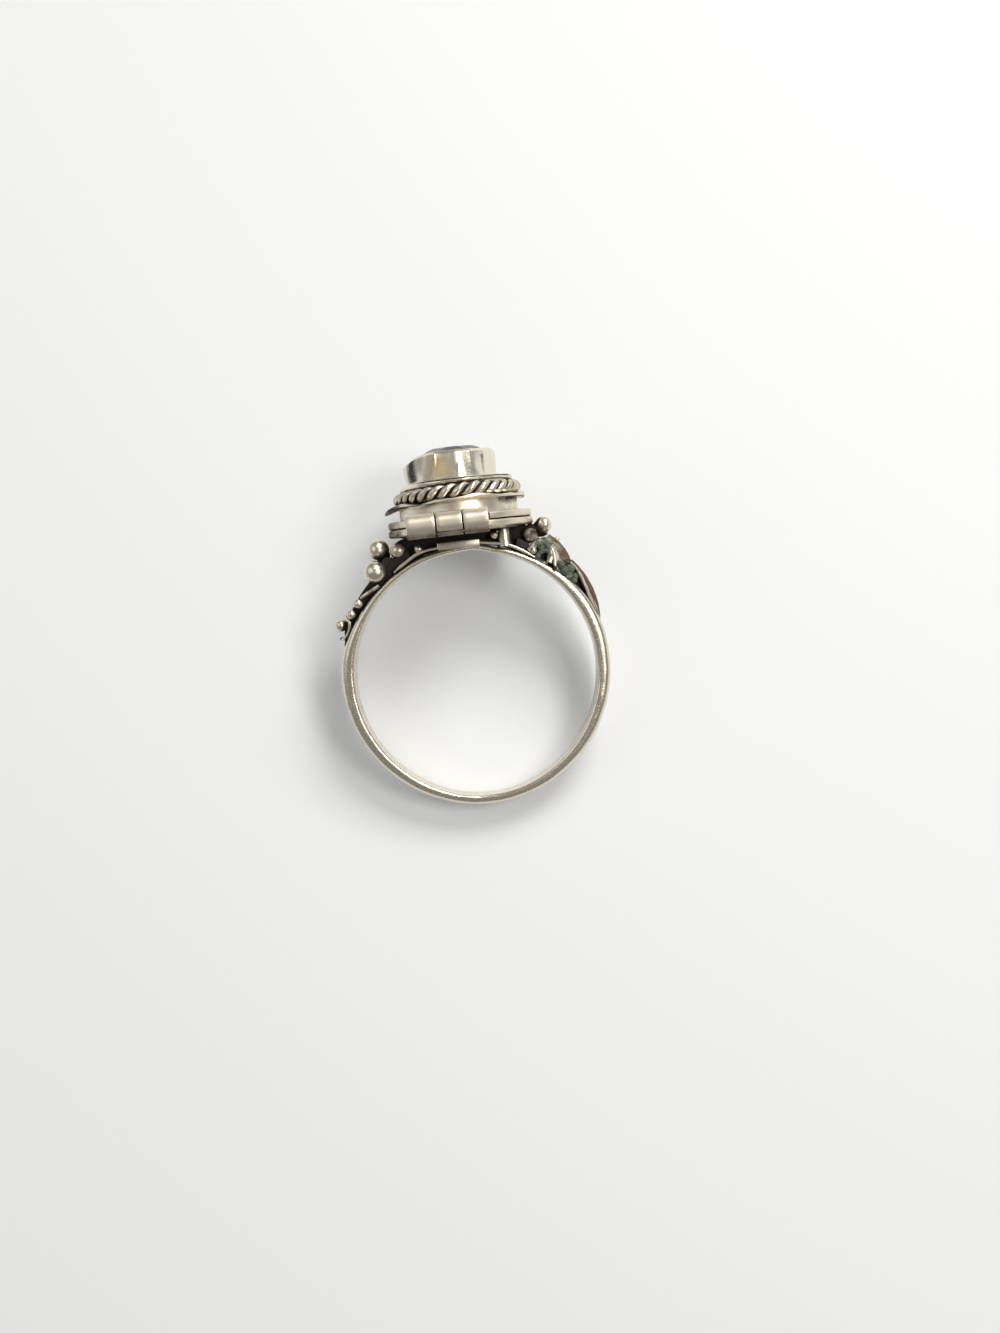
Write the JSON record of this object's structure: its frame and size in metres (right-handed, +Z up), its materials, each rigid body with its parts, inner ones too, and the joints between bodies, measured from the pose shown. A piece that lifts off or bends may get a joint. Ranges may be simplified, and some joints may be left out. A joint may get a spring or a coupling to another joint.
{
  "type": "poison ring",
  "caption": "Silver locket ring: hinged oval box on a granulated band, twisted-wire border, faceted stone in a raised bezel.",
  "frame": {"origin": "centre of the ring's box on the ground, as the ring lies on its side", "axes": "+Y from the band's back to the head with the stone, +Z up, towards the hinge side, +X across the head"},
  "size_m": [0.0204, 0.0268, 0.0132],
  "materials": {
    "silver_band": "worn satin silver, scratched, warm tarnish at the edges",
    "silver_shadow": "oxidised silver, brown-black in the recesses",
    "silver_granules": "granulated silver, bright on the crowns and blackened between",
    "silver_leaves": "oxidised silver leaves, copper brown, with green tarnish",
    "silver_head": "satin silver with dark seams and fine scratches",
    "silver_rope": "twisted silver wire, blackened between the strands",
    "silver_bezel": "hand-pushed silver with vertical flats and a yellow stain",
    "violet_stone": "polished facets, dark violet blue"
  },
  "bodies": {
    "ring": {"shank": "silver_band", "seat": "silver_shadow", "left_shoulder": "silver_granules", "right_shoulder": "silver_leaves", "box": "silver_head", "hinge_pin": "silver_head"},
    "lid": {"lid": "silver_head", "rope_border": "silver_rope", "bezel": "silver_bezel", "stone": "violet_stone"}
  },
  "joints": [
    {"name": "lid_hinge", "type": "hinge", "parent": "ring", "child": "lid", "pos_m": [0.00012, 0.00581, 0.0124], "axis": [1, 0, 0], "range_deg": [0, 110]}
  ]
}
